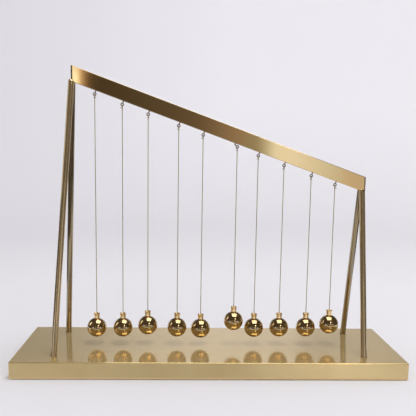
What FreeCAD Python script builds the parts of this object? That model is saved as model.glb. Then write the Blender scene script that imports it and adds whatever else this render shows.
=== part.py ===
import FreeCAD, Part
import os

import Sketcher

# Kinetic pendulum sculpture in polished brass: a low sheet brass box base, two pairs of
# leaning rod legs, a sloping box-section beam, and ten brass balls that each hang on one
# thread from a small screw eye. Millimetres, +Z up. The origin is the middle of the base's
# underside, +X runs along the base towards the low end of the beam, -Y is the front.

DOC = FreeCAD.newDocument("kinetic_pendulum_stand")
V = FreeCAD.Vector

SIZES = {
    # base: a folded sheet box, open below, over a solid board that it rests on. The board
    # stands a little proud below, which leaves a shadow gap round the foot of the box
    "base_length": 609.6,
    "base_depth": 203.2,
    "base_height": 27.0,
    "sheet_thick": 1.5,
    "base_corner": 2.5,
    "base_edge": 1.8,
    "shadow_gap": 1.5,
    "core_gap": 0.2,
    # legs: straight round rods, in two leaning pairs
    "leg_radius": 4.75,
    "foot_x": 242.6,
    "foot_y": 69.5,
    "leg_top_left_x": -219.4,
    "leg_top_right_x": 243.6,
    "leg_top_y": 5.5,
    "leg_sunk": 18.0,
    "socket_gap": 0.05,
    "tool_over": 20.0,
    "tool_tall": 60.0,
    # beam: a sloping box section with a plate brazed over each upright end
    "beam_left_x": -220.1,
    "beam_right_x": 248.8,
    "beam_left_top": 472.4,
    "beam_right_top": 306.8,
    "beam_rise": 24.5,
    "beam_depth": 12.7,
    "beam_wall": 1.6,
    "beam_edge": 0.7,
    "end_plate": 2.6,
    "end_round": 1.2,
    # screw eyes: a straight one's ring has its middle eye_drop below the beam, square to it
    "eye_drop": 5.4,
    "eye_mid_radius": 2.1,
    "eye_wire_radius": 0.75,
    "eye_flat": 0.07,
    "shank_radius": 0.95,
    "screw_radius": 1.25,
    "screw_length": 7.5,
    "screw_gap": 0.05,
    "screw_overlap": 1.0,
    # the bent screw eye: its shank leaves the beam square and then leans over
    "bent_lean": -45.0,
    "bent_neck": 1.4,
    "bent_reach": 5.6,
    # thread: a wrap round the ring, then one straight length between two knots
    "wrap_bore": 0.92,
    "wrap_radius": 2.0,
    "wrap_width": 1.2,
    "cord_radius": 0.6,
    "knot_radius": 1.35,
    "knot_gap": 0.06,
    "knot_seat": 0.02,
    # ball and its flared collar, heights above the middle of the ball
    "ball_radius": 15.875,
    "socket_radius": 2.95,
    "socket_floor": 9.3,
    "spigot_radius": 2.9,
    "spigot_end": 9.5,
    "collar_seat": 0.04,
    "collar_low_radius": 4.55,
    "collar_waist_radius": 4.75,
    "collar_waist": 19.8,
    "collar_rim_radius": 5.2,
    "collar_top": 23.6,
    "collar_lip": 0.6,
    "collar_dish_radius": 3.7,
    "collar_dish": 22.1,
    "collar_plate": 20.9,
    "collar_bore": 2.2,
    "cord_hole": 0.68,
}

# where each thread hangs along the base, and the height of the middle of its ball
HANG_X = [-184.3, -141.4, -100.8, -52.5, -13.7, 40.9, 74.9, 116.8, 161.4, 200.4]
BALL_Z = [54.7, 55.0, 58.8, 55.5, 53.8, 66.9, 55.5, 56.4, 56.9, 62.0]
# the screw eye whose shank is bent over
BENT_EYE = 6
for count, (x, z) in enumerate(zip(HANG_X, BALL_Z), start=1):
    SIZES[f"hang_x_{count}"] = x
    SIZES[f"ball_z_{count}"] = z

SHEET = DOC.addObject("Spreadsheet::Sheet", "dims")
for row, (alias, value) in enumerate(SIZES.items(), start=1):
    SHEET.set(f"A{row}", alias)
    SHEET.set(f"B{row}", str(value))
    SHEET.setAlias(f"B{row}", alias)
DOC.recompute()

SUB_PARTS = []

# how close two plain values must be to count as equal, and the shortest long edge of the beam
NEAR = 0.01
LONG_EDGE = 100.0
# the least share of its solid block that each hollow section gives up
BASE_HOLLOW_LEAST = 0.65
BEAM_HOLLOW_LEAST = 0.4


def d(alias):
    """The expression that reads one cell."""
    return f"dims.{alias}"


# the beam's slope, as a ratio and as an angle, and the height of its underside at x
SLOPE = (
    "((dims.beam_left_top - dims.beam_right_top)"
    " / (dims.beam_right_x - dims.beam_left_x))"
)
TILT = f"atan({SLOPE})"
UNDER_LEFT = "(dims.beam_left_top - dims.beam_rise)"


def under(x):
    return f"({UNDER_LEFT} - {SLOPE} * ({x} - dims.beam_left_x))"


def keep(obj, label):
    """Names a finished sub-part after its node."""
    obj.Label = label
    SUB_PARTS.append(obj)
    return obj


def place(obj, x="0", y="0", z="0", axis=None, angle=None):
    """Binds an object's placement to the sheet."""
    turn = f"rotation(vector({axis}); {angle})" if axis else "rotation(vector(0; 0; 1); 0)"
    obj.setExpression("Placement", f"placement(vector({x}; {y}; {z}); {turn})")
    return obj


def cylinder(name, radius, height):
    obj = DOC.addObject("Part::Cylinder", name)
    obj.setExpression("Radius", radius)
    obj.setExpression("Height", height)
    return obj


def sphere(name, radius):
    obj = DOC.addObject("Part::Sphere", name)
    obj.setExpression("Radius", radius)
    return obj


def cut(name, base, tool):
    obj = DOC.addObject("Part::Cut", name)
    obj.Base = base
    obj.Tool = tool
    return obj


def fuse(name, shapes):
    obj = DOC.addObject("Part::MultiFuse", name)
    obj.Shapes = shapes
    return obj


def plane_of(body, role):
    return next(f for f in body.Origin.OriginFeatures if f.Role == role)


def sketch_on(body, name, role):
    sketch = body.newObject("Sketcher::SketchObject", name)
    sketch.AttachmentSupport = (plane_of(body, role), [""])
    sketch.MapMode = "FlatFace"
    return sketch


def bind(sketch, constraint, expression):
    """Adds a dimension to a sketch and binds it to the sheet."""
    index = sketch.addConstraint(constraint)
    sketch.setExpression(f"Constraints[{index}]", expression)


def polygon(sketch, points):
    """Adds a closed chain of straight lines and returns how many there are."""
    count = len(points)
    for i in range(count):
        ends = V(*points[i], 0), V(*points[(i + 1) % count], 0)
        sketch.addGeometry(Part.LineSegment(*ends), False)
    for i in range(count):
        sketch.addConstraint(Sketcher.Constraint("Coincident", i, 2, (i + 1) % count, 1))
    return count


def centred_rectangle(sketch, length, depth, size):
    """A rectangle about the sketch's origin with bound sides."""
    a, b = size[0] / 2, size[1] / 2
    polygon(sketch, [(-a, -b), (a, -b), (a, b), (-a, b)])
    for i, way in enumerate(["Horizontal", "Vertical", "Horizontal", "Vertical"]):
        sketch.addConstraint(Sketcher.Constraint(way, i))
    sketch.addConstraint(Sketcher.Constraint("Symmetric", 0, 1, 1, 2, -1, 1))
    bind(sketch, Sketcher.Constraint("DistanceX", 0, 1, 0, 2, size[0]), length)
    bind(sketch, Sketcher.Constraint("DistanceY", 1, 1, 1, 2, size[1]), depth)


def edges_where(feature, test):
    """The names of a feature's edges that pass a test."""
    found = enumerate(feature.Shape.Edges, start=1)
    return [f"Edge{i}" for i, edge in found if test(edge)]


def fillet(body, name, base, names, radius):
    obj = body.newObject("PartDesign::Fillet", name)
    obj.Base = (base, names)
    obj.setExpression("Radius", radius)
    DOC.recompute()
    return obj


def cell(alias):
    return float(SIZES[alias])


def beam_fall():
    """The beam's fall for each millimetre along X."""
    fall = cell("beam_left_top") - cell("beam_right_top")
    return fall / (cell("beam_right_x") - cell("beam_left_x"))


def slanted_section(body, name, length, fall, height, lift, size):
    """Sketches a parallelogram with upright ends that falls from left to right.

    length, fall, height and lift are expressions. size holds their plain values.
    """
    run, drop, tall, low = size
    sketch = sketch_on(body, name, "XZ_Plane")
    polygon(sketch, [(0, drop + low), (run, low), (run, low + tall), (0, drop + low + tall)])
    sketch.addConstraint(Sketcher.Constraint("PointOnObject", 0, 1, -2))
    sketch.addConstraint(Sketcher.Constraint("Vertical", 3))
    sketch.addConstraint(Sketcher.Constraint("Vertical", 1))
    bind(sketch, Sketcher.Constraint("DistanceX", -1, 1, 0, 2, run), length)
    bind(sketch, Sketcher.Constraint("DistanceY", 0, 2, 0, 1, drop), fall)
    bind(sketch, Sketcher.Constraint("DistanceY", 1, 1, 1, 2, tall), height)
    bind(sketch, Sketcher.Constraint("DistanceY", 3, 2, 3, 1, tall), height)
    if low:
        bind(sketch, Sketcher.Constraint("DistanceY", -1, 1, 0, 2, low), lift)
    else:
        sketch.addConstraint(Sketcher.Constraint("PointOnObject", 0, 2, -1))
    return sketch


def slanted_bar(name, x0, x1, low, high, depth, ends, heights):
    """A body that follows the beam's slope from x0 to x1, centred on Y.

    low and high are heights above the beam's underside line. ends and heights hold the
    plain values that the sketch starts from.
    """
    body = DOC.addObject("PartDesign::Body", name)
    run = ends[1] - ends[0]
    size = (run, run * beam_fall(), heights[1] - heights[0], 0)
    length = f"({x1}) - ({x0})"
    section = slanted_section(
        body, f"{name}_section", length, f"{SLOPE} * ({length})",
        f"({high}) - ({low})", "0", size,
    )
    pad = body.newObject("PartDesign::Pad", f"{name}_pad")
    pad.Profile = section
    pad.SideType = "Symmetric"
    pad.setExpression("Length", depth)
    place(body, x0, "0", f"{under(x1)} + ({low})")
    DOC.recompute()
    return body, pad


# ---- legs -------------------------------------------------------------------------------

def leg_frame(side, front):
    """The expressions of a leg's foot, its run to the beam, and its top's x."""
    sign = "-" if side == "left" else ""
    near = "-" if front else ""
    foot_x = f"({sign}dims.foot_x)"
    foot_y = f"({near}dims.foot_y)"
    top_x = f"dims.leg_top_{side}_x"
    run_x = f"({top_x} - {foot_x})"
    run_y = f"({near}dims.leg_top_y - {foot_y})"
    run_z = f"({under(top_x)} - dims.base_height)"
    return foot_x, foot_y, run_x, run_y, run_z


def leaning_rod(name, side, front, radius, below, above):
    """A round rod on a leg's axis, from below the base's top to above the beam's underside."""
    foot_x, foot_y, run_x, run_y, run_z = leg_frame(side, front)
    length = f"sqrt({run_x}^2 + {run_y}^2 + {run_z}^2)"
    back = f"({below}) / {length}"
    rod = cylinder(name, radius, f"{length} + ({below}) + ({above})")
    place(
        rod,
        f"{foot_x} - {run_x} * {back}",
        f"{foot_y} - {run_y} * {back}",
        f"dims.base_height - {run_z} * {back}",
        f"-{run_y}; {run_x}; 0",
        f"acos({run_z} / {length})",
    )
    return rod


LEGS = [("left", True), ("left", False), ("right", True), ("right", False)]
beam_ends = (cell("beam_left_x"), cell("beam_right_x"))
rise = cell("beam_rise")

over = cell("tool_over")
leg_tool, _ = slanted_bar(
    "leg_tool", "dims.beam_left_x - dims.tool_over", "dims.beam_right_x + dims.tool_over",
    "0", d("tool_tall"), d("tool_tall"),
    (beam_ends[0] - over, beam_ends[1] + over), (0, cell("tool_tall")),
)

sockets = []
for side, front in LEGS:
    name = f"leg_{'front' if front else 'back'}_{side}"
    rod = leaning_rod(
        f"{name}_rod", side, front, d("leg_radius"), d("leg_sunk"), d("tool_over")
    )
    keep(cut(f"{name}_coped", rod, leg_tool), name)
    sockets.append(
        leaning_rod(
            f"{name}_socket", side, front, "dims.leg_radius + dims.socket_gap",
            "dims.leg_sunk + dims.socket_gap", "0",
        )
    )
leg_sockets = fuse("leg_sockets", sockets)

# ---- base -------------------------------------------------------------------------------

box = DOC.addObject("PartDesign::Body", "base_box")
outline = sketch_on(box, "base_outline", "XY_Plane")
outer_size = (cell("base_length"), cell("base_depth"))
centred_rectangle(outline, d("base_length"), d("base_depth"), outer_size)
base_pad = box.newObject("PartDesign::Pad", "base_pad")
base_pad.Profile = outline
base_pad.setExpression("Length", "dims.base_height - dims.shadow_gap")
DOC.recompute()

upright = edges_where(base_pad, lambda e: abs(e.tangentAt(e.FirstParameter).z) > 1 - NEAR)
corners = fillet(box, "base_corners", base_pad, upright, d("base_corner"))
pad_height = cell("base_height") - cell("shadow_gap")
around_top = edges_where(corners, lambda e: e.BoundBox.ZMin > pad_height - NEAR)
top_edge = fillet(box, "base_top_edge", corners, around_top, d("base_edge"))

inside = sketch_on(box, "base_inside", "XY_Plane")
inner_size = tuple(s - 2 * cell("sheet_thick") for s in outer_size)
centred_rectangle(
    inside, "dims.base_length - 2 * dims.sheet_thick",
    "dims.base_depth - 2 * dims.sheet_thick", inner_size,
)
hollow = box.newObject("PartDesign::Pocket", "base_hollow")
hollow.Profile = inside
hollow.Reversed = True
hollow.setExpression("Length", "dims.base_height - dims.shadow_gap - dims.sheet_thick")
place(box, z=d("shadow_gap"))
DOC.recompute()
keep(cut("base_shell_drilled", box, leg_sockets), "base_shell")

board = DOC.addObject("Part::Box", "base_board")
board.setExpression("Length", "dims.base_length - 2 * (dims.sheet_thick + dims.core_gap)")
board.setExpression("Width", "dims.base_depth - 2 * (dims.sheet_thick + dims.core_gap)")
board.setExpression("Height", "dims.base_height - dims.sheet_thick")
place(
    board,
    "-(dims.base_length / 2 - dims.sheet_thick - dims.core_gap)",
    "-(dims.base_depth / 2 - dims.sheet_thick - dims.core_gap)",
)
keep(cut("base_core_drilled", board, leg_sockets), "base_core")

# ---- beam -------------------------------------------------------------------------------

tube_ends = (beam_ends[0] + cell("end_plate"), beam_ends[1] - cell("end_plate"))
tube_x0 = "dims.beam_left_x + dims.end_plate"
tube_x1 = "dims.beam_right_x - dims.end_plate"
tube, tube_pad = slanted_bar(
    "beam_tube", tube_x0, tube_x1, "0", d("beam_rise"), d("beam_depth"), tube_ends, (0, rise),
)


def runs_along(edge):
    """True for the beam's four long edges."""
    return edge.Length > LONG_EDGE


long_edges = edges_where(tube_pad, runs_along)
fillet(tube, "beam_tube_round", tube_pad, long_edges, d("beam_edge"))

tilt = (1 + beam_fall() ** 2) ** 0.5
wall_rise = cell("beam_wall") * tilt
run = tube_ends[1] - tube_ends[0]
bore = slanted_section(
    tube, "beam_tube_bore", f"{tube_x1} - ({tube_x0})", f"{SLOPE} * ({tube_x1} - ({tube_x0}))",
    f"dims.beam_rise - 2 * dims.beam_wall / cos({TILT})", f"dims.beam_wall / cos({TILT})",
    (run, run * beam_fall(), rise - 2 * wall_rise, wall_rise),
)
beam_hollow = tube.newObject("PartDesign::Pocket", "beam_tube_hollow")
beam_hollow.Profile = bore
beam_hollow.SideType = "Symmetric"
beam_hollow.setExpression("Length", "dims.beam_depth - 2 * dims.beam_wall")
DOC.recompute()

for side, x0, x1 in (
    ("left", "dims.beam_left_x", tube_x0),
    ("right", tube_x1, "dims.beam_right_x"),
):
    at = 0 if side == "left" else 1
    span = sorted((beam_ends[at], tube_ends[at]))
    label = f"beam_end_cap_{side}"
    plate, plate_pad = slanted_bar(
        f"end_plate_{side}", x0, x1, "0", d("beam_rise"), d("beam_depth"), span, (0, rise)
    )
    outer = 0 if side == "left" else span[1] - span[0]

    def on_outer_end(edge, outer=outer):
        """True for the edges round the plate's outer face."""
        limits = edge.BoundBox
        return limits.XLength < NEAR and abs(limits.XMin - outer) < NEAR

    fillet(
        plate, f"{label}_round", plate_pad, edges_where(plate_pad, on_outer_end), d("end_round")
    )
    keep(plate, label)

# ---- screw eyes and pendulums -----------------------------------------------------------

def reach(i):
    """How far a screw eye's shank leads from the middle of its ring, across and up."""
    if i == BENT_EYE:
        return (
            f"(dims.bent_reach * sin(dims.bent_lean) + dims.bent_neck * sin({TILT}))",
            f"(dims.bent_reach * cos(dims.bent_lean) + dims.bent_neck * cos({TILT}))",
        )
    return f"(dims.eye_drop * sin({TILT}))", f"(dims.eye_drop * cos({TILT}))"


def eye_height(i):
    """The height of the middle of a screw eye's ring."""
    across_to, up_to = reach(i)
    return f"({under(d(f'hang_x_{i}') + ' + ' + across_to)} - {up_to})"


def along_screw(obj, i, distance):
    """Places a cylinder square to the beam, at a distance above where the shank enters it."""
    across_to, up_to = reach(i)
    return place(
        obj,
        f"{d(f'hang_x_{i}')} + {across_to} + ({distance}) * sin({TILT})",
        "0",
        f"{eye_height(i)} + {up_to} + ({distance}) * cos({TILT})",
        "0; 1; 0",
        TILT,
    )


def bent_shank(i):
    """The leaning length of the bent eye's shank, with a round elbow at its upper end."""
    x, z = d(f"hang_x_{i}"), eye_height(i)

    def lean_over(obj, distance):
        return place(
            obj,
            f"{x} + ({distance}) * sin(dims.bent_lean)",
            "0",
            f"{z} + ({distance}) * cos(dims.bent_lean)",
            "0; 1; 0",
            "dims.bent_lean",
        )

    length = "dims.bent_reach - dims.eye_mid_radius"
    shank = cylinder(f"eye_{i}_leaning", d("shank_radius"), length)
    elbow = sphere(f"eye_{i}_elbow", d("shank_radius"))
    return [lean_over(shank, d("eye_mid_radius")), lean_over(elbow, d("bent_reach"))]


def across(obj, x, z, thickness):
    """Places a cylinder with its axis along Y, centred on the beam's middle plane."""
    return place(obj, x, f"({thickness}) / 2", z, "1; 0; 0", "90")


def screw_eye(i):
    """A wire ring, with slight flats round its bore and its rim, on a screw."""
    x = d(f"hang_x_{i}")
    z = eye_height(i)
    wire = DOC.addObject("Part::Torus", f"eye_{i}_wire")
    wire.setExpression("Radius1", d("eye_mid_radius"))
    wire.setExpression("Radius2", d("eye_wire_radius"))
    place(wire, x, "0", z, "1; 0; 0", "90")
    half = "dims.eye_wire_radius - dims.eye_flat"
    thick = "4 * dims.eye_wire_radius"
    rim = across(cylinder(f"eye_{i}_rim", f"dims.eye_mid_radius + {half}", thick), x, z, thick)
    hole = across(
        cylinder(f"eye_{i}_bore", f"dims.eye_mid_radius - ({half})", thick), x, z, thick
    )
    band = cut(f"eye_{i}_band", rim, hole)
    ring = DOC.addObject("Part::MultiCommon", f"eye_{i}_ring")
    ring.Shapes = [wire, band]
    bent = i == BENT_EYE
    straight = "dims.bent_neck" if bent else "(dims.eye_drop - dims.eye_mid_radius)"
    shank = along_screw(
        cylinder(f"eye_{i}_shank", d("shank_radius"), f"{straight} + dims.screw_overlap"),
        i, f"-{straight}",
    )
    screw = along_screw(
        cylinder(f"eye_{i}_screw", d("screw_radius"), d("screw_length")), i, "0"
    )
    leaning = bent_shank(i) if bent else []
    return fuse(f"eye_{i}", [ring, shank, screw] + leaning)


eyes = [screw_eye(i) for i in range(1, 11)]
screw_eyes = DOC.addObject("Part::Compound", "screw_eye_set")
screw_eyes.Links = eyes
keep(screw_eyes, "screw_eyes")

drills = [
    along_screw(
        cylinder(f"eye_{i}_drill", "dims.screw_radius + dims.screw_gap", "3 * dims.beam_wall"),
        i, "-dims.beam_wall",
    )
    for i in range(1, 11)
]
keep(cut("beam_drilled", tube, fuse("beam_drills", drills)), "beam")


def collar_profile(sketch):
    """The collar's half section: a spigot, a seat on the ball, a flare and a dished top."""
    seat = "sqrt(dims.ball_radius^2 - dims.{}^2) + dims.collar_seat"
    corners_of_profile = [
        ("collar_bore", "spigot_end"),
        ("spigot_radius", "spigot_end"),
        ("spigot_radius", seat.format("spigot_radius")),
        ("collar_low_radius", seat.format("collar_low_radius")),
        ("collar_waist_radius", "collar_waist"),
        ("collar_rim_radius", "collar_top"),
        ("collar_rim_radius - dims.collar_lip", "collar_top"),
        ("collar_dish_radius", "collar_dish"),
        ("cord_hole", "collar_dish"),
        ("cord_hole", "collar_plate"),
        ("collar_bore", "collar_plate"),
    ]
    radius = cell("ball_radius")
    points = []
    for across_to, up_to in corners_of_profile:
        first = across_to.split(" - ")
        out = cell(first[0]) - (cell("collar_lip") if len(first) > 1 else 0)
        if "sqrt" in up_to:
            up = (radius**2 - cell(first[0]) ** 2) ** 0.5 + cell("collar_seat")
        else:
            up = cell(up_to)
        points.append((out, up))
    polygon(sketch, points)
    for i, (across_to, up_to) in enumerate(corners_of_profile):
        out, up = points[i]
        height = up_to if "sqrt" in up_to else d(up_to)
        bind(sketch, Sketcher.Constraint("DistanceX", -1, 1, i, 1, out), d(across_to))
        bind(sketch, Sketcher.Constraint("DistanceY", -1, 1, i, 1, up), height)


def wrap(i, x, pivot):
    """The turn of thread round the ring's lowest point, on the swing axis."""
    def barrel(name, radius, width):
        return place(
            cylinder(name, radius, width), f"{x} - ({width}) / 2", "0", pivot, "0; 1; 0", "90"
        )

    outer = barrel(f"wrap_{i}_outer", d("wrap_radius"), d("wrap_width"))
    inner = barrel(f"wrap_{i}_inner", d("wrap_bore"), "2 * dims.wrap_width")
    keep(cut(f"wrap_{i}", outer, inner), f"loop_{i:02d}")


def hanging_thread(i, x, pivot):
    """The straight thread, with a knot under the ring and a knot inside the collar."""
    ball_z = d(f"ball_z_{i}")
    top = f"({pivot} - dims.wrap_radius - dims.knot_gap - dims.knot_radius)"
    foot = f"({ball_z} + dims.collar_plate - dims.knot_radius - dims.knot_seat)"
    upper = place(sphere(f"knot_{i}_upper", d("knot_radius")), x, "0", top)
    lower = place(sphere(f"knot_{i}_lower", d("knot_radius")), x, "0", foot)
    cord = place(cylinder(f"cord_{i}", d("cord_radius"), f"{top} - {foot}"), x, "0", foot)
    keep(fuse(f"thread_{i}", [cord, upper, lower]), f"string_{i:02d}")


def collar(i, x):
    body = DOC.addObject("PartDesign::Body", f"collar_{i}")
    profile = sketch_on(body, f"collar_{i}_profile", "XZ_Plane")
    collar_profile(profile)
    turned = body.newObject("PartDesign::Revolution", f"collar_{i}_turned")
    turned.Profile = profile
    turned.ReferenceAxis = (profile, ["V_Axis"])
    turned.Angle = 360
    place(body, x, "0", d(f"ball_z_{i}"))
    keep(body, f"cap_{i:02d}")


def ball(i, x):
    solid = place(sphere(f"sphere_{i}", d("ball_radius")), x, "0", d(f"ball_z_{i}"))
    hole = place(
        cylinder(f"ball_socket_{i}", d("socket_radius"), d("ball_radius")),
        x, "0", f"{d(f'ball_z_{i}')} + dims.socket_floor",
    )
    keep(cut(f"drilled_ball_{i}", solid, hole), f"ball_{i:02d}")


for i in range(1, 11):
    x = d(f"hang_x_{i}")
    pivot = f"({eye_height(i)} - dims.eye_mid_radius)"
    wrap(i, x, pivot)
    hanging_thread(i, x, pivot)
    collar(i, x)
    ball(i, x)

DOC.recompute()

# ---- checks and export ------------------------------------------------------------------

for obj in DOC.Objects:
    bad = [state for state in obj.State if state in ("Invalid", "Error")]
    if bad:
        raise RuntimeError(f"{obj.Label} is {bad}")

if hollow.Shape.Volume > (1 - BASE_HOLLOW_LEAST) * base_pad.Shape.Volume:
    raise RuntimeError("the base isn't hollow")
if beam_hollow.Shape.Volume > (1 - BEAM_HOLLOW_LEAST) * tube_pad.Shape.Volume:
    raise RuntimeError("the beam isn't hollow")

os.makedirs("parts", exist_ok=True)
for sub_part in SUB_PARTS:
    shape = sub_part.Shape
    if shape.isNull() or not shape.isValid():
        raise RuntimeError(f"{sub_part.Label} has no valid shape")
    shape.exportStep(os.path.join("parts", f"{sub_part.Label}.step"))
    box_of = shape.BoundBox
    print(
        f"{sub_part.Label:22s} solids {len(shape.Solids):2d} volume {shape.Volume:11.1f}"
        f"  x {box_of.XMin:7.1f} {box_of.XMax:7.1f}  y {box_of.YMin:6.1f} {box_of.YMax:6.1f}"
        f"  z {box_of.ZMin:6.1f} {box_of.ZMax:6.1f}"
    )
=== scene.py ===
import bmesh
import bpy
import math
from mathutils import Matrix, Vector


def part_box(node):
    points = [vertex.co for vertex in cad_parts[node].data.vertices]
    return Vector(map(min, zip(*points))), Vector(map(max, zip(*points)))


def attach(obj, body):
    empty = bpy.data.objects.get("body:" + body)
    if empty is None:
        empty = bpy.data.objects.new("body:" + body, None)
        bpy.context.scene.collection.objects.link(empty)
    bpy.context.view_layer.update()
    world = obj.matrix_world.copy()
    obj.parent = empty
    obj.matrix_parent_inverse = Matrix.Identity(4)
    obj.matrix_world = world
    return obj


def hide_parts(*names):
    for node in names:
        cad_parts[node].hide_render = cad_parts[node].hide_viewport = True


# Kinetic pendulum sculpture in polished brass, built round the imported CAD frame. Metres, +Z up,
# -Y is the front. Pendulums are numbered from the high end of the beam.

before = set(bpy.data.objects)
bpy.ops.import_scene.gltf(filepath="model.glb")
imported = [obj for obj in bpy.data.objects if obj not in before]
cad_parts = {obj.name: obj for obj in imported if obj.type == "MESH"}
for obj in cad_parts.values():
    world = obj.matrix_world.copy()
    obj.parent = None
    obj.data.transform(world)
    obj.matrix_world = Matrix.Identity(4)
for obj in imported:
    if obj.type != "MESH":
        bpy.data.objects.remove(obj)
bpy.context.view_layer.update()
SCENE = bpy.context.scene

PENDULUMS = [f"{i:02d}" for i in range(1, 11)]
LEGS = ["front_left", "back_left", "front_right", "back_right"]
MM = 0.001

# sizes that the pieces share with the CAD model
BALL_R = 15.875 * MM
CORD_D = 1.2 * MM
RING_R = 2.1 * MM       # a screw eye's ring, to the middle of its wire
WIRE_R = 0.75 * MM
SHANK_R = 0.95 * MM
EYE_DROP = 5.4 * MM     # from the middle of a ring up to the beam
WRAP_R = 2.0 * MM       # from a pivot to the outside of the thread round the wire
KNOT_R = 1.35 * MM
KNOT_GAP = 0.06 * MM
LEG_R = 4.75 * MM
BENT_EYE = "06"
BENT_LEAN = math.radians(-45.0)
BENT_REACH = 5.6 * MM   # from the middle of the ring to the bend in its shank
BENT_NECK = 1.4 * MM    # from that bend up to the beam


# ---- where things are, read from the frame ------------------------------------------------

def middle(node):
    low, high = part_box(node)
    return (Vector(low) + Vector(high)) / 2


def pivot(n):
    """The lowest point of a screw eye's wire, which the thread turns round."""
    return middle(f"loop_{n}")


def ball_centre(n):
    low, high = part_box(f"ball_{n}")
    return Vector(((low[0] + high[0]) / 2, (low[1] + high[1]) / 2, low[2] + BALL_R))


def beam_slope():
    """The angle at which the beam falls towards +X."""
    left = middle("beam_end_cap_left")
    right = middle("beam_end_cap_right")
    return math.atan2(left.z - right.z, right.x - left.x)


SLOPE = beam_slope()


# ---- camera -------------------------------------------------------------------------------

LENS = 57.28
SENSOR = 36.0
SHIFT_X = 0.0037
SHIFT_Y = 0.111
CAMERA_PLACE = (-0.0466, -1.0659, 0.3456)
PAN = -0.0385
TILT = -0.1558
ROLL = -0.0158


def make_camera():
    """A camera in front and a little to the left, aimed slightly down, angles in radians."""
    data = bpy.data.cameras.new("camera")
    data.sensor_width = SENSOR
    data.lens = LENS
    data.shift_x = SHIFT_X
    data.shift_y = SHIFT_Y
    data.clip_start = 0.05
    data.clip_end = 50.0
    camera = bpy.data.objects.new("camera", data)
    SCENE.collection.objects.link(camera)
    turn = (
        Matrix.Rotation(PAN, 4, "Z")
        @ Matrix.Rotation(TILT, 4, "X")
        @ Matrix.Rotation(ROLL, 4, "Y")
        @ Matrix.Rotation(math.pi / 2, 4, "X")
    )
    camera.matrix_world = Matrix.Translation(CAMERA_PLACE) @ turn
    SCENE.camera = camera


make_camera()


# ---- mesh helpers -------------------------------------------------------------------------

def link_mesh(name, bm):
    """Puts a bmesh into the scene as an object."""
    mesh = bpy.data.meshes.new(name)
    bm.to_mesh(mesh)
    bm.free()
    obj = bpy.data.objects.new(name, mesh)
    SCENE.collection.objects.link(obj)
    return obj


def new_object(name, bm):
    """Turns a bmesh into a smooth-shaded object with outward normals."""
    bmesh.ops.remove_doubles(bm, verts=bm.verts, dist=1e-7)
    bmesh.ops.recalc_face_normals(bm, faces=bm.faces)
    obj = link_mesh(name, bm)
    obj.data.polygons.foreach_set("use_smooth", [True] * len(obj.data.polygons))
    return obj


def bridge(bm, first, second):
    """Joins two closed rings of vertices with quads."""
    count = len(first)
    for i in range(count):
        j = (i + 1) % count
        bm.faces.new((first[i], first[j], second[j], second[i]))


def lathe(bm, profile, centre, segments, wobble=None):
    """Revolves (radius, height) points about an upright axis through centre.

    A point of radius 0 closes the shape. wobble(angle, height) scales the radius.
    """
    rings = []
    for radius, height in profile:
        if radius == 0:
            rings.append([bm.verts.new(centre + Vector((0, 0, height)))])
            continue
        ring = []
        for s in range(segments):
            angle = 2 * math.pi * s / segments
            r = radius * (wobble(angle, height) if wobble else 1)
            ring.append(
                bm.verts.new(centre + Vector((r * math.cos(angle), r * math.sin(angle), height)))
            )
        rings.append(ring)
    for low, high in zip(rings, rings[1:]):
        if len(low) == 1 or len(high) == 1:
            tip, ring = (low[0], high) if len(low) == 1 else (high[0], low)
            for s in range(segments):
                bm.faces.new((tip, ring[s], ring[(s + 1) % segments]))
        else:
            bridge(bm, low, high)


def arc(centre, radius, start, end, steps):
    """Points on an arc in (radius, height) coordinates, angles in degrees."""
    points = []
    for i in range(steps + 1):
        a = math.radians(start + (end - start) * i / steps)
        points.append((centre[0] + radius * math.cos(a), centre[1] + radius * math.sin(a)))
    return points


def frames_along(points):
    """A tangent, a side and an up vector at each point, turning as little as they can."""
    last = len(points) - 1
    frames = []
    up = None
    for i in range(len(points)):
        tangent = (points[min(i + 1, last)] - points[max(i - 1, 0)]).normalized()
        if up is None:
            guess = Vector((0, 1, 0)) if abs(tangent.y) < 0.9 else Vector((1, 0, 0))
            up = (guess - tangent * guess.dot(tangent)).normalized()
        else:
            up = (up - tangent * up.dot(tangent)).normalized()
        frames.append((tangent, tangent.cross(up).normalized(), up))
    return frames


DOME = 0.6              # height of a tube's end, as a share of its radius
DOME_RING = 0.6         # width of the ring half way up that end, as a share of the tube's
DOME_RING_RISE = 0.7    # height of that ring, as a share of the end's


def dome_end(bm, ring, outward):
    """Closes a tube's last ring with a shallow dome that rises along outward."""
    sides = len(ring)
    at = sum((v.co for v in ring), Vector()) / sides
    rise = outward * ((ring[0].co - at).length * DOME)
    inner = [bm.verts.new(at + (v.co - at) * DOME_RING + rise * DOME_RING_RISE) for v in ring]
    tip = bm.verts.new(at + rise)
    bridge(bm, ring, inner)
    for k in range(sides):
        bm.faces.new((inner[k], inner[(k + 1) % sides], tip))


def tube(bm, points, radius, sides=10, shape=None, caps=True):
    """Sweeps a round section along points. radius is a number or a function of the share done.

    shape(k, i) scales the radius of side k at point i. Ends close in a shallow dome.
    """
    frames = frames_along(points)
    count = len(points)
    rings = []
    for i, (point, (_, side, up)) in enumerate(zip(points, frames)):
        r = radius(i / (count - 1)) if callable(radius) else radius
        ring = []
        for k in range(sides):
            a = 2 * math.pi * k / sides
            s = r * (shape(k, i) if shape else 1)
            ring.append(bm.verts.new(point + side * (s * math.cos(a)) + up * (s * math.sin(a))))
        rings.append(ring)
    for first, second in zip(rings, rings[1:]):
        bridge(bm, first, second)
    if caps:
        dome_end(bm, rings[0], -frames[0][0])
        dome_end(bm, rings[-1], frames[-1][0])


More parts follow.
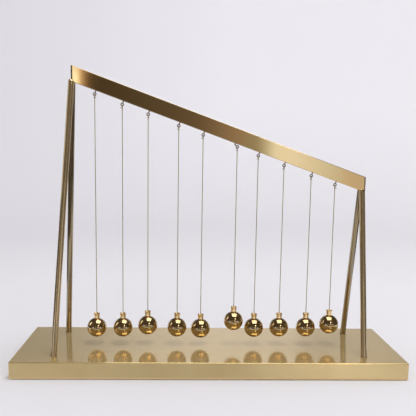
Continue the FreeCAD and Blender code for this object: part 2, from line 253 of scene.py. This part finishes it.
def smooth_path(points, closed=False):
    """Points along the NURBS line that has the given control points."""
    curve = bpy.data.curves.new("route", "CURVE")
    curve.dimensions = "3D"
    spline = curve.splines.new("NURBS")
    spline.points.add(len(points) - 1)
    for place, point in zip(spline.points, points):
        place.co = (*point, 1)
    spline.order_u = 3
    spline.use_endpoint_u = not closed
    spline.use_cyclic_u = closed
    spline.resolution_u = 8
    holder = bpy.data.objects.new("route", curve)
    mesh = bpy.data.meshes.new_from_object(holder)
    path = [v.co.copy() for v in mesh.vertices]
    bpy.data.objects.remove(holder)
    bpy.data.curves.remove(curve)
    bpy.data.meshes.remove(mesh)
    return path


def resample(points, step):
    """Points an even step apart along a line of points."""
    result = [points[0].copy()]
    left = step
    for a, b in zip(points, points[1:]):
        length = (b - a).length
        done = left
        while done <= length and length > 0:
            result.append(a + (b - a) * (done / length))
            done += step
        left = done - length
    if (result[-1] - points[-1]).length > 0.2 * step:
        result.append(points[-1].copy())
    return result


# ---- materials ----------------------------------------------------------------------------

def new_material(name):
    material = bpy.data.materials.new(name)
    material.use_nodes = True
    tree = material.node_tree
    tree.nodes.clear()
    out = tree.nodes.new("ShaderNodeOutputMaterial")
    shader = tree.nodes.new("ShaderNodeBsdfPrincipled")
    tree.links.new(shader.outputs["BSDF"], out.inputs["Surface"])
    return material, tree, shader


def place_coordinates(tree, scale=(1, 1, 1)):
    """Object coordinates in metres, stretched by scale."""
    coordinates = tree.nodes.new("ShaderNodeTexCoord")
    mapping = tree.nodes.new("ShaderNodeMapping")
    mapping.inputs["Scale"].default_value = scale
    tree.links.new(coordinates.outputs["Object"], mapping.inputs["Vector"])
    return mapping.outputs["Vector"]


def noise_value(tree, scale, detail=3.0, stretch=(1, 1, 1), rough=0.5):
    node = tree.nodes.new("ShaderNodeTexNoise")
    node.inputs["Scale"].default_value = scale
    node.inputs["Detail"].default_value = detail
    node.inputs["Roughness"].default_value = rough
    tree.links.new(place_coordinates(tree, stretch), node.inputs["Vector"])
    return node.outputs["Fac"]


def remap(tree, value, low, high, to_low, to_high):
    node = tree.nodes.new("ShaderNodeMapRange")
    tree.links.new(value, node.inputs["Value"])
    for key, number in zip(
        ("From Min", "From Max", "To Min", "To Max"), (low, high, to_low, to_high)
    ):
        node.inputs[key].default_value = number
    return node.outputs["Result"]


def combine(tree, operation, a, b):
    node = tree.nodes.new("ShaderNodeMath")
    node.operation = operation
    for socket, value in zip(node.inputs, (a, b)):
        if isinstance(value, (int, float)):
            socket.default_value = value
        else:
            tree.links.new(value, socket)
    return node.outputs[0]


def weigh(tree, first, second, share):
    """share of the first value, and the rest of the second."""
    part = combine(tree, "MULTIPLY", first, share)
    rest = combine(tree, "MULTIPLY", second, 1 - share)
    return combine(tree, "ADD", part, rest)


def blend_colours(tree, amount, first, second):
    node = tree.nodes.new("ShaderNodeMix")
    node.data_type = "RGBA"
    tree.links.new(amount, node.inputs["Factor"])
    for key, colour in (("A", first), ("B", second)):
        socket = next(s for s in node.inputs if s.name == key and s.type == "RGBA")
        socket.default_value = (*colour, 1)
    return next(s for s in node.outputs if s.type == "RGBA")


def bump(tree, shader, layers):
    """Chains bump nodes. Each layer is (height value, strength, distance in metres)."""
    normal = None
    for value, strength, distance in layers:
        node = tree.nodes.new("ShaderNodeBump")
        node.inputs["Strength"].default_value = strength
        node.inputs["Distance"].default_value = distance
        tree.links.new(value, node.inputs["Height"])
        if normal is not None:
            tree.links.new(normal, node.inputs["Normal"])
        normal = node.outputs["Normal"]
    tree.links.new(normal, shader.inputs["Normal"])


def metal(name, pale, deep, rough, grain=(1, 1, 1), metallic=1.0, wave=0.0, scratch=0.0):
    """Polished metal: smudges shift its colour and roughness, and fine scratches cross it.

    rough is (clean, smudged). grain stretches the scratches. wave is the height in metres of
    the slow unevenness of hand-polished sheet, and scratch is the depth of the scratches.
    """
    material, tree, shader = new_material(name)
    smudge = noise_value(tree, 9.0, 4.0, rough=0.6)
    cloud = noise_value(tree, 38.0, 3.0)
    lines = noise_value(tree, 900.0, 2.0, grain)
    mixed = weigh(tree, smudge, cloud, 0.65)
    tone = remap(tree, mixed, 0.36, 0.64, 0.0, 1.0)
    tree.links.new(blend_colours(tree, tone, pale, deep), shader.inputs["Base Color"])
    worn = weigh(tree, mixed, lines, 0.8)
    tree.links.new(remap(tree, worn, 0.36, 0.66, *rough), shader.inputs["Roughness"])
    shader.inputs["Metallic"].default_value = metallic
    layers = []
    if wave:
        layers.append((noise_value(tree, 14.0, 1.0), 1.0, wave))
    if scratch:
        layers.append((lines, 0.25, scratch))
    bump(tree, shader, layers)
    return material


ALONG_X = (0.03, 1, 1)
UPRIGHT = (1, 1, 0.03)


def base_brass():
    """Satin sheet, brushed lengthwise."""
    return metal("brass_base", (0.82, 0.63, 0.30), (0.77, 0.58, 0.27), (0.08, 0.14),
                 ALONG_X, metallic=0.64, wave=0.12 * MM, scratch=0.001 * MM)


def beam_brass():
    """Mirror-polished box section."""
    return metal("brass_beam", (0.77, 0.65, 0.40), (0.82, 0.60, 0.34), (0.04, 0.09),
                 ALONG_X, wave=0.06 * MM, scratch=0.0008 * MM)


def leg_brass():
    """Polished rod."""
    return metal("brass_leg", (0.70, 0.55, 0.34), (0.58, 0.45, 0.26), (0.05, 0.12),
                 UPRIGHT, metallic=0.86, wave=0.03 * MM, scratch=0.001 * MM)


def painted_shade_back_leg_brass():
    """The same rod in darker tones: painted shade, standing in for the dimmer side of the room that
    it would mirror.
    """
    return metal("brass_back_leg_painted_shade", (0.42, 0.345, 0.235), (0.34, 0.275, 0.185), (0.05, 0.12),
                 UPRIGHT, metallic=0.92, wave=0.03 * MM, scratch=0.001 * MM)


def end_plate_brass():
    """Dull plate over a cut end."""
    return metal("brass_end_plate", (0.46, 0.34, 0.20), (0.36, 0.26, 0.15), (0.2, 0.32),
                 scratch=0.006 * MM)


def bright_braze():
    """Filed and polished braze."""
    return metal("braze_bead", (0.86, 0.74, 0.50), (0.74, 0.60, 0.36), (0.12, 0.26),
                 wave=0.1 * MM)


def dark_braze():
    """Dark, rough braze."""
    return metal("foot_braze", (0.34, 0.26, 0.15), (0.16, 0.12, 0.07), (0.25, 0.45),
                 metallic=0.8, wave=0.1 * MM)


def ball_brass():
    """Turned and mirror-polished."""
    return metal("brass_ball", (0.64, 0.49, 0.285), (0.59, 0.445, 0.25), (0.03, 0.07),
                 scratch=0.001 * MM)


def collar_gold():
    """Turned brass, polished to a pale gold."""
    return metal("collar_gold", (1.0, 0.79, 0.47), (0.98, 0.74, 0.42), (0.08, 0.14),
                 metallic=0.9, scratch=0.003 * MM)


def eye_wire():
    """Dull brown tarnished wire."""
    return metal("eye_wire", (0.20, 0.115, 0.05), (0.12, 0.07, 0.032), (0.5, 0.65),
                 metallic=0.35, scratch=0.005 * MM)


def thread_material():
    """Twisted cord in olive and tan."""
    material, tree, shader = new_material("thread")
    fibres = noise_value(tree, 2500.0, 3.0, (1, 1, 0.25))
    patches = noise_value(tree, 60.0, 2.0)
    amount = remap(tree, weigh(tree, fibres, patches, 0.5), 0.35, 0.65, 0.0, 1.0)
    colour = blend_colours(tree, amount, (0.36, 0.26, 0.06), (0.19, 0.13, 0.02))
    tree.links.new(colour, shader.inputs["Base Color"])
    shader.inputs["Roughness"].default_value = 0.75
    shader.inputs["Sheen Weight"].default_value = 0.3
    shader.inputs["Sheen Roughness"].default_value = 0.4
    bump(tree, shader, [(fibres, 0.5, 0.04 * MM)])
    return material


def board_material():
    """Fine-grained sanded board."""
    material, tree, shader = new_material("board")
    rings = noise_value(tree, 40.0, 4.0, (0.08, 1, 1))
    pores = noise_value(tree, 500.0, 2.0, (0.1, 1, 1))
    amount = remap(tree, rings, 0.35, 0.65, 0.0, 1.0)
    colour = blend_colours(tree, amount, (0.52, 0.36, 0.20), (0.38, 0.24, 0.12))
    tree.links.new(colour, shader.inputs["Base Color"])
    shader.inputs["Roughness"].default_value = 0.7
    bump(tree, shader, [(pores, 0.4, 0.1 * MM)])
    return material


MATERIALS = {
    "base": base_brass(),
    "beam": beam_brass(),
    "leg": leg_brass(),
    "back_leg_painted_shade": painted_shade_back_leg_brass(),
    "plate": end_plate_brass(),
    "braze": bright_braze(),
    "solder": dark_braze(),
    "ball": ball_brass(),
    "collar": collar_gold(),
    "eye": eye_wire(),
    "thread": thread_material(),
    "board": board_material(),
}


def finish_with(obj, material):
    obj.data.materials.clear()
    obj.data.materials.append(MATERIALS[material])


# ---- threads: cords between the screw eyes and the collars --------------------------------

TWIST = 4.2 * MM        # length of one full twist of the two plies
CORD_LOBE = 0.2         # depth of the groove between the plies, as a share of the radius
CORD_SWELL = 1.04       # radius over the plies, as a share of the cord's nominal radius
CORD_STEP = 0.5 * MM
CORD_SIDES = 10
# the knots whose longer tail points to +X
TAILS_RIGHT = ("01", "03", "10")


def hanging_thread(n):
    """A two-ply cord from the knot under the screw eye down into the collar."""
    top = pivot(n) - Vector((0, 0, WRAP_R + KNOT_GAP + KNOT_R))
    foot = Vector((top.x, top.y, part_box(f"string_{n}")[0][2] + KNOT_R))
    route = smooth_path([top, top.lerp(foot, 0.5), foot])
    path = resample(route, CORD_STEP)

    def two_ply(k, i):
        turn = 2 * math.pi * i * CORD_STEP / TWIST
        lobes = abs(math.cos(2 * math.pi * k / CORD_SIDES + turn))
        return 1 - CORD_LOBE + CORD_LOBE * lobes

    bm = bmesh.new()
    tube(bm, path, CORD_D / 2 * CORD_SWELL, CORD_SIDES, two_ply)
    thread = new_object(f"thread_{n}", bm)
    knots = [upper_knot(n, top), lower_knot(n, foot)]
    finish_with(thread, "thread")
    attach(thread, f"pendulum_{n}")
    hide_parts(f"string_{n}")


def overhand(centre, size, turn):
    """Control points of a pulled-tight overhand knot round an upright cord."""
    points = []
    count = 18
    for i in range(count):
        a = 2 * math.pi * i / count
        r = size * (0.62 + 0.26 * math.cos(3 * a))
        x = r * math.cos(2 * a + turn)
        y = r * math.sin(2 * a + turn)
        points.append(centre + Vector((x, y, size * 0.55 * math.sin(3 * a))))
    return points


def cut_tail(bm, at, out, length):
    """A short end of thread that leaves a knot, arches a little and droops."""
    out = out.normalized()
    start = at + Vector((0, 0, 0.5 * MM))
    bend = start + out * (length * 0.55) + Vector((0, 0, 0.3 * MM))
    end = start + out * length - Vector((0, 0, 0.5 * MM))
    tube(bm, smooth_path([start, bend, end]), 0.42 * MM, 8)


def upper_knot(n, at):
    """The knot under the ring, with its two cut tails."""
    seed = int(n)
    bm = bmesh.new()
    middle_of_knot = at + Vector((0, 0, 0.2 * MM))
    loop = smooth_path(overhand(middle_of_knot, 1.1 * MM, 1.3 * seed), closed=True)
    tube(bm, loop + [loop[0]], 0.5 * MM, 8, caps=False)
    side = 1 if n in TAILS_RIGHT else -1
    cut_tail(bm, at, Vector((side, -0.25 - 0.1 * (seed % 3), 0)), (2.3 + 0.5 * (seed % 3)) * MM)
    cut_tail(bm, at, Vector((-side * 0.4, 0.9, 0)), (1.3 + 0.4 * (seed % 2)) * MM)
    knot = new_object(f"knot_top_{n}", bm)
    finish_with(knot, "thread")
    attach(knot, f"pendulum_{n}")
    return knot


def lower_knot(n, at):
    """The stopper knot inside the collar."""
    bm = bmesh.new()
    loop = smooth_path(overhand(at, 1.0 * MM, 0.5 * int(n)), closed=True)
    tube(bm, loop + [loop[0]], 0.45 * MM, 8, caps=False)
    knot = new_object(f"knot_foot_{n}", bm)
    finish_with(knot, "thread")
    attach(knot, f"pendulum_{n}")
    return knot


TURNS = 2.3             # of thread round the wire
STEPS_PER_TURN = 14
TURN_R = 1.46 * MM      # from a pivot to the middle of the thread round it
TURN_THREAD_R = 0.53 * MM
TURN_SPREAD = 0.9 * MM  # along the beam, from the first turn to the last


def turns_on_ring(n):
    """The turns of thread round the lowest part of the screw eye's wire."""
    centre = pivot(n)
    points = []
    count = int(TURNS * STEPS_PER_TURN)
    for i in range(count + 1):
        a = 2 * math.pi * i / STEPS_PER_TURN - math.pi / 2
        across = TURN_SPREAD * (i / count - 0.5)
        points.append(centre + Vector((across, TURN_R * math.cos(a), TURN_R * math.sin(a))))
    bm = bmesh.new()
    tube(bm, smooth_path(points), TURN_THREAD_R)
    turns_piece = new_object(f"thread_turns_{n}", bm)
    finish_with(turns_piece, "thread")
    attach(turns_piece, f"hanger_{n}")
    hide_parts(f"loop_{n}")


# ---- screw eyes ---------------------------------------------------------------------------

RING_STEPS = 28
RING_GAP = math.radians(24)


def screw_eye(n):
    """A wire bent into a ring, its end tucked against a shank that is screwed into the beam."""
    ring_centre = pivot(n) + Vector((0, 0, RING_R))
    square = Vector((math.sin(SLOPE), 0, math.cos(SLOPE)))
    bent = n == BENT_EYE
    lean = BENT_LEAN if bent else SLOPE
    along = Vector((math.sin(lean), 0, math.cos(lean)))
    entry = ring_centre + (along * BENT_REACH + square * BENT_NECK if bent else along * EYE_DROP)
    points = []
    for i in range(RING_STEPS):
        turned = (2 * math.pi - RING_GAP) * (1 - i / RING_STEPS)
        a = math.pi / 2 - lean + RING_GAP * 0.6 + turned
        points.append(ring_centre + Vector((RING_R * math.cos(a), 0, RING_R * math.sin(a))))
    points.append(ring_centre + along * (RING_R + 0.1 * MM))
    points.append(ring_centre + along * (RING_R + 0.9 * MM))
    if bent:
        points += [ring_centre + along * BENT_REACH] * 2
    points.append(entry + square * (0.6 * MM))
    path = smooth_path(points)
    length = sum((b - a).length for a, b in zip(path, path[1:]))
    ring_share = 2 * math.pi * RING_R / length

    def thickness(done):
        return WIRE_R + (SHANK_R - WIRE_R) * min(1.0, max(0.0, (done - ring_share) / 0.1))

    bm = bmesh.new()
    tube(bm, resample(path, 0.2 * MM), thickness, 12)
    shank_collar(bm, entry - square * (0.1 * MM), square)
    eye = new_object(f"screw_eye_{n}", bm)
    finish_with(eye, "eye")
    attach(eye, "stand")
    return eye


def shank_collar(bm, at, along):
    """The burr that the screw raises where it enters the beam."""
    points = [at - along * (0.45 * MM), at - along * (0.1 * MM), at + along * (0.3 * MM)]
    tube(bm, points, lambda done: (0.95 + 0.5 * done) * MM, 16)


# ---- balls and collars --------------------------------------------------------------------

def ball(n):
    """A turned ball with a socket bored in its top."""
    centre = ball_centre(n)
    mouth = 2.95 * MM
    edge = math.degrees(math.acos(mouth / BALL_R))
    profile = [(0, -BALL_R)]
    profile += arc((0, 0), BALL_R, -90 + 1.5, edge - 0.4, 88)
    rim = math.sqrt(BALL_R ** 2 - mouth ** 2)
    profile += [(mouth, rim - 0.25 * MM), (mouth, 9.3 * MM), (mouth * 0.5, 8.6 * MM), (0, 8.4 * MM)]
    bm = bmesh.new()
    lathe(bm, profile, centre, 128)
    piece = new_object(f"ball_piece_{n}", bm)
    finish_with(piece, "ball")
    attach(piece, f"pendulum_{n}")
    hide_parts(f"ball_{n}")


def collar_profile():
    """Half section of a flared collar: foot ring, waist, flare, rolled rim and dished top."""
    foot = math.sqrt(BALL_R ** 2 - (4.5 * MM) ** 2) / MM
    outside = [
        (2.25, 9.6), (2.9, 9.6), (2.9, foot + 0.1), (4.2, foot + 0.06), (4.26, foot + 0.4),
        (4.45, foot + 0.55), (4.6, foot + 0.66), (4.64, foot + 0.85), (4.63, foot + 1.2),
        (4.66, 18.2), (4.73, 19.8), (4.84, 21.2), (4.95, 22.2), (5.05, 22.9), (5.13, 23.3),
    ]
    rim = [(5.17, 23.42), (5.16, 23.53), (5.08, 23.6), (4.95, 23.54)]
    dish = [
        (4.8, 23.3), (4.6, 22.9), (4.3, 22.45), (3.8, 22.15), (3.0, 21.95), (2.0, 21.9),
        (1.25, 22.0), (0.95, 22.12), (0.78, 22.08), (0.70, 21.9), (0.70, 21.0), (2.2, 20.9),
        (2.25, 20.6), (2.25, 9.6),
    ]
    return [(r * MM, z * MM) for r, z in outside + rim + dish]


def collar(n):
    centre = ball_centre(n)
    phase = 0.7 * int(n)

    def hand_spun(angle, height):
        """Slightly out of round, more so at the flare."""
        flare = max(0.0, height / MM - 19.0) / 4.6
        return 1 + 0.006 * flare * math.cos(2 * angle + phase) + 0.003 * flare * math.cos(5 * angle)

    bm = bmesh.new()
    lathe(bm, collar_profile(), centre, 64, hand_spun)
    piece = new_object(f"collar_{n}", bm)
    finish_with(piece, "collar")
    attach(piece, f"pendulum_{n}")
    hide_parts(f"cap_{n}")


# ---- braze beads --------------------------------------------------------------------------

def leg_ends(leg):
    """The middles of a leg's foot and of its cut top."""
    low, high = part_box(f"leg_{leg}")
    places = [v.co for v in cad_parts[f"leg_{leg}"].data.vertices]
    bottom = [p for p in places if p.z < low[2] + 3 * MM]
    top = [p for p in places if p.z > high[2] - 10 * MM]
    return sum(bottom, Vector()) / len(bottom), sum(top, Vector()) / len(top)


def foot_bead(leg):
    """A thin fillet of braze round a leg where it stands on the base."""
    foot, head = leg_ends(leg)
    base_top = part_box("base_shell")[1][2]
    axis = (head - foot).normalized()
    at = foot + axis * ((base_top - foot.z) / axis.z)
    segments = 48
    rings = []
    bm = bmesh.new()
    for out, up in [(0.0, 0.55), (0.12, 0.22), (0.45, 0.06), (0.85, 0.0)]:
        ring = []
        for s in range(segments):
            a = 2 * math.pi * s / segments
            swell = 1 + 0.35 * math.sin(3 * a + len(leg)) * math.cos(a)
            r = LEG_R + out * MM * swell
            level = at + axis * (up * MM * swell / axis.z)
            ring.append(bm.verts.new(level + Vector((r * math.cos(a), r * math.sin(a), 0))))
        rings.append(ring)
    for low, high in zip(rings, rings[1:]):
        bridge(bm, low, high)
    bead = new_object(f"foot_bead_{leg}", bm)
    finish_with(bead, "solder")
    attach(bead, "stand")


MOUND_WIDTH = LEG_R * 0.9   # half of it, along the beam
MOUND_PROUD = 3.5 * MM
MOUND_RISE = 3.8 * MM
MOUND_SINK = 0.2 * MM       # how far it starts inside the beam and below the leg's crest


def mound(bm, centre, out, phase):
    """A lumpy quarter of an ellipsoid that rises from centre and stands proud along out * Y."""
    across, upward = 28, 14
    rings = []
    for i in range(across + 1):
        a = math.pi * i / across
        ring = []
        for j in range(upward + 1):
            b = 0.5 * math.pi * j / upward
            lump = 1 + 0.05 * math.sin(3 * a + phase) * math.cos(b)
            along = -math.cos(a) * math.cos(b) * MOUND_WIDTH * lump
            proud = out * math.sin(a) * math.cos(b) * MOUND_PROUD * lump
            height = math.sin(b) * MOUND_RISE * lump - along * math.tan(SLOPE)
            ring.append(bm.verts.new(centre + Vector((along, proud, height))))
        rings.append(ring)
    for first, second in zip(rings, rings[1:]):
        for j in range(upward):
            bm.faces.new((first[j], second[j], second[j + 1], first[j + 1]))
    bm.faces.new([ring[0] for ring in rings])
    bm.faces.new(rings[0] + rings[-1][::-1])
    bmesh.ops.remove_doubles(bm, verts=bm.verts, dist=0.01 * MM)


def top_bead(leg):
    """A mound of braze where a leg's cut top runs past the beam's long face."""
    front = leg.startswith("front")
    beam_low, beam_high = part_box("beam")
    face_y, out = (beam_low[1], -1) if front else (beam_high[1], 1)
    leg_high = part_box(f"leg_{leg}")[1][2]
    places = [v.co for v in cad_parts[f"leg_{leg}"].data.vertices]
    tips = [p.x for p in places if p.z > leg_high - 3.6 * MM]
    crest = leg_high - LEG_R * abs(math.tan(SLOPE))
    centre = Vector((
        (min(tips) + max(tips)) / 2,
        face_y - out * MOUND_SINK,
        crest - MOUND_SINK,
    ))
    bm = bmesh.new()
    mound(bm, centre, out, len(leg))
    bead = new_object(f"top_bead_{leg}", bm)
    finish_with(bead, "braze")
    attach(bead, "stand")


# ---- the CAD nodes that stay --------------------------------------------------------------

def dress_frame():
    """Finishes for the CAD nodes whose shape is right."""
    finishes = {
        "base_shell": "base",
        "base_core": "board",
        "beam": "beam",
        "beam_end_cap_left": "plate",
        "beam_end_cap_right": "plate",
    }
    for leg in LEGS:
        # The back legs get the darker copy of the leg brass, which is painted shade.
        finishes[f"leg_{leg}"] = "leg" if leg.startswith("front") else "back_leg_painted_shade"
    for node, material in finishes.items():
        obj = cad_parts[node]
        for slot in obj.material_slots:
            slot.material = MATERIALS[material]


# ---- studio -------------------------------------------------------------------------------

def split_place(tree):
    """The X, Y and Z of a point on the object, as sockets."""
    coordinates = tree.nodes.new("ShaderNodeTexCoord")
    split = tree.nodes.new("ShaderNodeSeparateXYZ")
    tree.links.new(coordinates.outputs["Object"], split.inputs[0])
    return split.outputs


def colour_along_x(tree, stops):
    """A colour that changes with x, from (x, colour) stops."""
    first, last = stops[0][0], stops[-1][0]
    share = remap(tree, split_place(tree)["X"], first, last, 0.0, 1.0)
    node = tree.nodes.new("ShaderNodeValToRGB")
    while len(node.color_ramp.elements) < len(stops):
        node.color_ramp.elements.new(0.5)
    for element, (x, colour) in zip(node.color_ramp.elements, stops):
        element.position = (x - first) / (last - first)
        element.color = (*colour, 1)
    tree.links.new(share, node.inputs["Fac"])
    return node.outputs["Color"]


def glow(name, colour, strength=1.0):
    """Emission of one colour, or of a list of (x, colour) stops along X."""
    material = bpy.data.materials.new(name)
    material.use_nodes = True
    tree = material.node_tree
    tree.nodes.clear()
    out = tree.nodes.new("ShaderNodeOutputMaterial")
    light = tree.nodes.new("ShaderNodeEmission")
    light.inputs["Strength"].default_value = strength
    if isinstance(colour, list):
        tree.links.new(colour_along_x(tree, colour), light.inputs["Color"])
    else:
        light.inputs["Color"].default_value = (*colour, 1)
    tree.links.new(light.outputs[0], out.inputs["Surface"])
    return material


def card(name, x, y, z, material):
    """A flat card that only reflections see, in the plane of the range that is one number."""
    if not isinstance(x, tuple):
        corners = [(x, y[0], z[0]), (x, y[1], z[0]), (x, y[1], z[1]), (x, y[0], z[1])]
    elif not isinstance(y, tuple):
        corners = [(x[0], y, z[0]), (x[1], y, z[0]), (x[1], y, z[1]), (x[0], y, z[1])]
    else:
        corners = [(x[0], y[0], z), (x[1], y[0], z), (x[1], y[1], z), (x[0], y[1], z)]
    bm = bmesh.new()
    bm.faces.new([bm.verts.new(c) for c in corners])
    obj = link_mesh(name, bm)
    obj.data.materials.append(material)
    obj.visible_camera = False
    obj.visible_shadow = False
    obj.visible_diffuse = False
    obj.visible_transmission = False


ROOM_X = (-1.75, 1.75)
ROOM_Y = (-1.92, 2.1)
ROOM_Z = (0.0, 1.75)


def dark_room():
    """The unlit room that the polished metal mirrors in front, at the sides and overhead."""
    dim = glow("room", (0.09, 0.072, 0.052))
    card("room_front", (-2.0, 2.0), ROOM_Y[0], ROOM_Z, dim)
    card("room_left", ROOM_X[0], ROOM_Y, ROOM_Z, dim)
    card("room_right", ROOM_X[1], ROOM_Y, ROOM_Z, dim)
    card("room_top", ROOM_X, ROOM_Y, ROOM_Z[1], dim)


def dark_floor():
    """The unlit floor round the lit paper, just above the sweep."""
    low = glow("room_floor", (0.07, 0.055, 0.04))
    card("room_floor_front", (-2.0, 2.0), (ROOM_Y[0], -0.36), 0.004, low)
    card("room_floor_left", (-2.0, -0.62), (-0.36, 1.0), 0.004, low)
    card("room_floor_right", (0.62, 2.0), (-0.36, 1.0), 0.004, low)


def panel():
    """What the beam's long face mirrors: a bright strip, a dark gap and a lit panel."""
    stops = [
        (-0.555, (0.10, 0.08, 0.035)),
        (-0.535, (0.5, 0.45, 0.30)),
        (-0.519, (1.85, 1.90, 1.80)),
        (-0.500, (1.70, 1.60, 1.30)),
        (-0.488, (0.75, 0.42, 0.14)),
        (-0.470, (0.22, 0.105, 0.032)),
        (-0.445, (0.068, 0.050, 0.032)),
        (-0.10, (0.12, 0.092, 0.062)),
        (0.03, (0.155, 0.12, 0.088)),
        (0.165, (0.31, 0.225, 0.165)),
        (0.285, (0.38, 0.335, 0.24)),
        (0.325, (0.62, 0.60, 0.50)),
        (0.37, (1.0, 1.01, 0.98)),
        (0.42, (1.0, 1.02, 1.0)),
        (0.535, (0.87, 0.86, 0.80)),
        (0.72, (0.64, 0.57, 0.47)),
    ]
    card("panel", (-0.57, 0.82), -1.90, (0.12, 0.72), glow("panel", stops))
    tall = glow("tall_panel", (0.62, 0.58, 0.50))
    card("tall_panel", (0.50, 0.84), -1.905, (0.0, 1.5), tall)


def lamp():
    """A bright lamp in the room, high on the right."""
    glare = glow("lamp", (1.0, 0.90, 0.72), 7.0)
    card("lamp", (0.62, 0.92), -1.88, (1.22, 1.62), glare)


def window():
    """A warm window on the left."""
    daylight = glow("window", (1.0, 0.93, 0.82), 1.7)
    card("window", -1.70, (-0.1, 0.45), (0.42, 1.42), daylight)


def cool(level):
    return (level, level * 1.01, level * 1.14)


def warm(level):
    return (level, level * 0.97, level * 0.84)


def lit_sweep():
    """The lit part of the sweep behind the object, which the base's top mirrors."""
    stops = [
        (-1.35, cool(0.05)), (-1.0, cool(0.19)), (-0.65, cool(0.28)), (-0.40, cool(0.42)),
        (-0.13, cool(0.57)), (0.13, cool(0.67)), (0.49, cool(0.62)), (0.61, cool(0.45)),
        (1.05, cool(0.38)), (1.2, cool(0.15)), (1.40, cool(0.04)),
    ]
    card("lit_sweep", ROOM_X, ROOM_Y[1], ROOM_Z, glow("lit_sweep", stops))


def floor_paper():
    """The paper in front of the base, which its front and the balls mirror."""
    stops = [
        (-0.32, cool(0.48)), (-0.10, cool(0.38)), (0.04, cool(0.42)), (0.14, cool(0.68)),
        (0.22, cool(0.80)), (0.32, cool(0.65)),
    ]
    card("near_paper", (-0.62, 0.62), (-0.19, -0.103), 0.003, glow("near_paper", stops))
    front = glow("front_paper", warm(0.74))
    card("front_paper", (-0.62, 0.62), (-0.36, -0.19), 0.003, front)


def backdrop_paper_painted_glow():
    """Pale paper with painted light and shade: it glows faintly, least round the object and at the
    left.
    """
    material = bpy.data.materials.new("backdrop")
    material.use_nodes = True
    tree = material.node_tree
    tree.nodes.clear()
    out = tree.nodes.new("ShaderNodeOutputMaterial")
    paper = tree.nodes.new("ShaderNodeBsdfDiffuse")
    paper.inputs["Color"].default_value = (0.78, 0.775, 0.80, 1)
    light = tree.nodes.new("ShaderNodeEmission")
    light.inputs["Color"].default_value = (0.985, 0.975, 1.0, 1)
    both = tree.nodes.new("ShaderNodeAddShader")
    coordinates = tree.nodes.new("ShaderNodeTexCoord")
    distance = tree.nodes.new("ShaderNodeVectorMath")
    distance.operation = "LENGTH"
    tree.links.new(coordinates.outputs["Object"], distance.inputs[0])
    # Painted light and shade: the glow rises towards the wall, is least round the object and is
    # weaker at the left.
    rise = remap(tree, distance.outputs["Value"], 1.9, 2.6, 0.0, 1.0)
    across = remap(tree, split_place(tree)["X"], -1.3, 0.2, 0.0, 0.13)
    spread = remap(tree, distance.outputs["Value"], 0.15, 0.75, 0.02, 0.075)
    painted_wall_light = combine(tree, "MULTIPLY", rise, across)
    tree.links.new(combine(tree, "ADD", painted_wall_light, spread), light.inputs["Strength"])
    tree.links.new(paper.outputs[0], both.inputs[0])
    tree.links.new(light.outputs[0], both.inputs[1])
    tree.links.new(both.outputs[0], out.inputs["Surface"])
    return material


FLOOR_R = 1.7
BEND_R = 0.9
WALL_TOP = 3.2


def backdrop():
    """A seamless pale sweep all round: a floor that curves up into a wall."""
    profile = [(0, 0), (0.3, 0), (0.8, 0), (1.2, 0)]
    for degrees in range(0, 91, 6):
        a = math.radians(degrees)
        profile.append((FLOOR_R + BEND_R * math.sin(a), BEND_R * (1 - math.cos(a))))
    profile.append((FLOOR_R + BEND_R, WALL_TOP))
    bm = bmesh.new()
    lathe(bm, profile, Vector(), 96)
    sweep = new_object("backdrop", bm)
    sweep.data.materials.append(backdrop_paper_painted_glow())


def softbox():
    """The big soft light overhead, and the dimmer face of it that polished metal mirrors."""
    data = bpy.data.lights.new("softbox", "AREA")
    data.shape = "RECTANGLE"
    data.size = 0.85
    data.size_y = 1.2
    data.energy = 37.0
    data.color = (1.0, 0.985, 0.96)
    light = bpy.data.objects.new("softbox", data)
    SCENE.collection.objects.link(light)
    light.location = (0.40, -0.25, 2.9)
    light.visible_camera = False
    light.visible_glossy = False
    face = glow("softbox_face", (1.0, 0.975, 0.88), 2.7)
    card("softbox_face", (-0.32, 0.82), (-0.72, 0.5), 1.455, face)


def surroundings():
    """Even, faint light from all round."""
    world = bpy.data.worlds.new("studio")
    SCENE.world = world
    world.use_nodes = True
    background = world.node_tree.nodes["Background"]
    background.inputs["Color"].default_value = (0.94, 0.93, 0.96, 1)
    background.inputs["Strength"].default_value = 0.42


def make_studio():
    backdrop()
    dark_room()
    dark_floor()
    panel()
    lamp()
    window()
    lit_sweep()
    floor_paper()
    softbox()
    surroundings()
    SCENE.view_settings.view_transform = "Standard"


# ---- build --------------------------------------------------------------------------------

for n in PENDULUMS:
    hanging_thread(n)
    turns_on_ring(n)
    ball(n)
    collar(n)

eyes = [screw_eye(n) for n in PENDULUMS]
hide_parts("screw_eyes")
for leg in LEGS:
    foot_bead(leg)
    top_bead(leg)
dress_frame()
make_studio()
